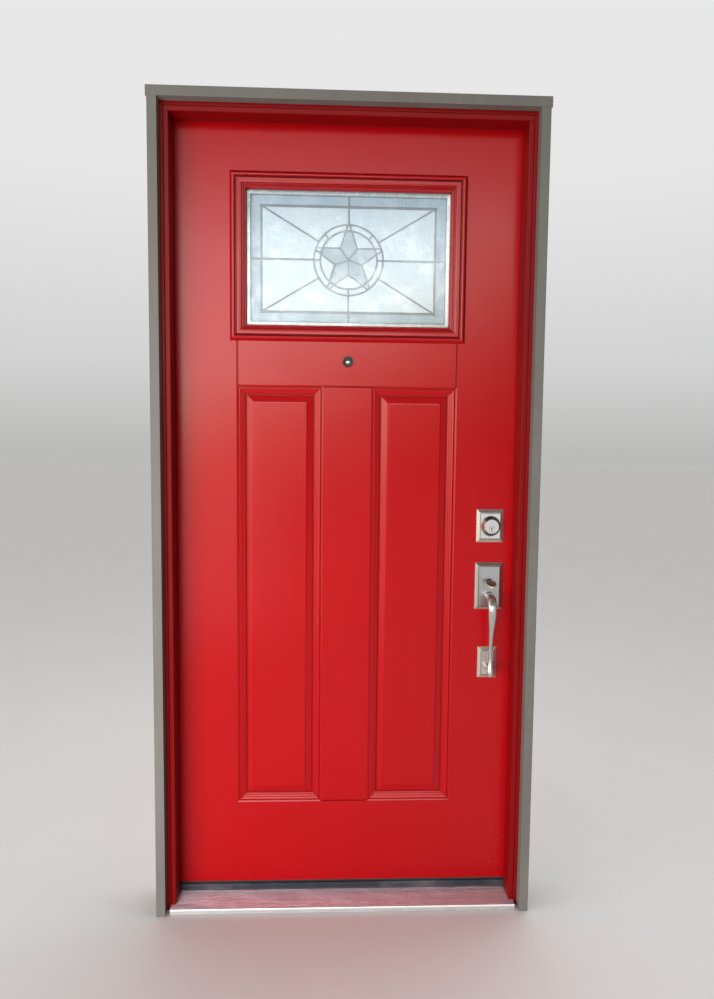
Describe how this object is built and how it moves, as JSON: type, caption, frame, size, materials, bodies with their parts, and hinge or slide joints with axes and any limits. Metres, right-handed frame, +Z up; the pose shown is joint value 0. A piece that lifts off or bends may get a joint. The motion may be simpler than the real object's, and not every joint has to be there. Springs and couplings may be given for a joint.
{
  "type": "front door in its frame",
  "caption": "Prehung red entrance door: leaf with a leaded star window over raised panels, wooden frame, sheet-metal surround, metal sill, deadbolt, pull grip with thumbpiece.",
  "frame": {"origin": "middle of the sill's underside, in the plane of the door leaf's outside face", "axes": "+Z up, +Y into the house, +X to the right seen from outside"},
  "size_m": [0.987, 0.1878, 2.0895],
  "materials": {
    "painted_wood": "semi-gloss paint",
    "painted_skin": "semi-gloss paint",
    "painted_lite_frame": "semi-gloss paint",
    "foam": "cellular",
    "surround_metal": "satin paint",
    "mill_aluminium": "mill",
    "composite": "matt",
    "dark_cap": "satin",
    "seal": "matt",
    "steel": "brushed",
    "nickel": "satin nickel plate",
    "plug_brass": "nickel-plated",
    "clear_glass": "polished",
    "border_pane": "water texture",
    "field_pane": "seedy texture",
    "star_pane": "frosted",
    "came": "patinated",
    "spacer": "bright"
  },
  "bodies": {
    "frame": {"hinge_jamb": "painted_wood", "strike_jamb": "painted_wood", "head_jamb": "painted_wood", "sill_deck": "mill_aluminium", "sill_substrate": "composite", "sill_cap": "dark_cap", "sill_cap_screws": "steel", "weatherstrip_hinge_side": "seal", "weatherstrip_lock_side": "seal", "weatherstrip_head": "seal", "corner_seal_pads": "seal", "jamb_hinge_leaves": "steel", "hinge_pins": "steel", "jamb_hinge_screws": "steel", "latch_strike": "nickel", "deadbolt_strike": "nickel", "strike_screws": "nickel", "head_trim": "surround_metal", "side_trim_left": "surround_metal", "side_trim_right": "surround_metal"},
    "leaf": {"skin_exterior": "painted_skin", "skin_interior": "painted_skin", "hinge_stile": "painted_wood", "lock_stile": "painted_wood", "top_rail": "painted_wood", "bottom_rail": "painted_wood", "foam_core": "foam", "lite_frame_exterior": "painted_lite_frame", "lite_frame_interior": "painted_lite_frame", "lite_frame_screws": "steel", "outer_pane": "clear_glass", "inner_pane": "clear_glass", "glass_spacers": "spacer", "came_lattice": "came", "border_glass": "border_pane", "field_glass": "field_pane", "star_glass": "star_pane", "door_sweep": "seal", "peephole_barrel": "nickel", "peephole_tube": "nickel", "peephole_lens": "clear_glass", "door_hinge_leaves": "steel", "door_hinge_screws": "steel", "deadbolt_rose_outside": "nickel", "deadbolt_cylinder": "nickel", "deadbolt_rose_inside": "nickel", "deadbolt_case": "nickel", "latch_case": "nickel", "faceplate_screws": "nickel", "handle_plate_upper": "nickel", "pull_grip": "nickel", "handle_plate_lower": "nickel", "lever_rose_inside": "nickel", "through_screws": "nickel"},
    "turn_body": {"thumbturn": "nickel"},
    "deadbolt_body": {"deadbolt_bolt": "nickel"},
    "plug_body": {"key_plug": "plug_brass"},
    "thumb_body": {"thumbpiece": "nickel"},
    "latch_body": {"latch_bolt": "nickel"},
    "lever_body": {"inside_lever": "nickel"}
  },
  "joints": [
    {"name": "door_swing", "type": "hinge", "parent": "frame", "child": "leaf", "pos_m": [-0.4556, 0.0515, 1.096], "axis": [0, 0, 1], "range_deg": [0, 110]},
    {"name": "turn_rotation", "type": "hinge", "parent": "leaf", "child": "turn_body", "pos_m": [0.38415, 0.055, 1.016], "axis": [0, 1, 0], "range_deg": [0, 90]},
    {"name": "deadbolt_slide", "type": "slide", "parent": "leaf", "child": "deadbolt_body", "axis": [1, 0, 0], "range_m": [0, 0.0254]},
    {"name": "plug_rotation", "type": "hinge", "parent": "leaf", "child": "plug_body", "pos_m": [0.38415, -0.01, 1.016], "axis": [0, 1, 0], "range_deg": [-90, 90]},
    {"name": "thumb_press", "type": "hinge", "parent": "leaf", "child": "thumb_body", "pos_m": [0.38415, -0.003, 0.8763], "axis": [1, 0, 0], "range_deg": [-12, 0]},
    {"name": "latch_slide", "type": "slide", "parent": "leaf", "child": "latch_body", "axis": [1, 0, 0], "range_m": [0, 0.0127]},
    {"name": "lever_turn", "type": "hinge", "parent": "leaf", "child": "lever_body", "pos_m": [0.38415, 0.07, 0.8763], "axis": [0, 1, 0], "range_deg": [-45, 0], "stiffness_Nm_per_rad": 1.5, "springref_deg": 8.59}
  ],
  "couplings": [
    {"joint": "deadbolt_slide", "follows": "turn_rotation", "m_per_rad": 0.01617},
    {"joint": "latch_slide", "follows": "thumb_press", "m_per_rad": -0.0606}
  ]
}
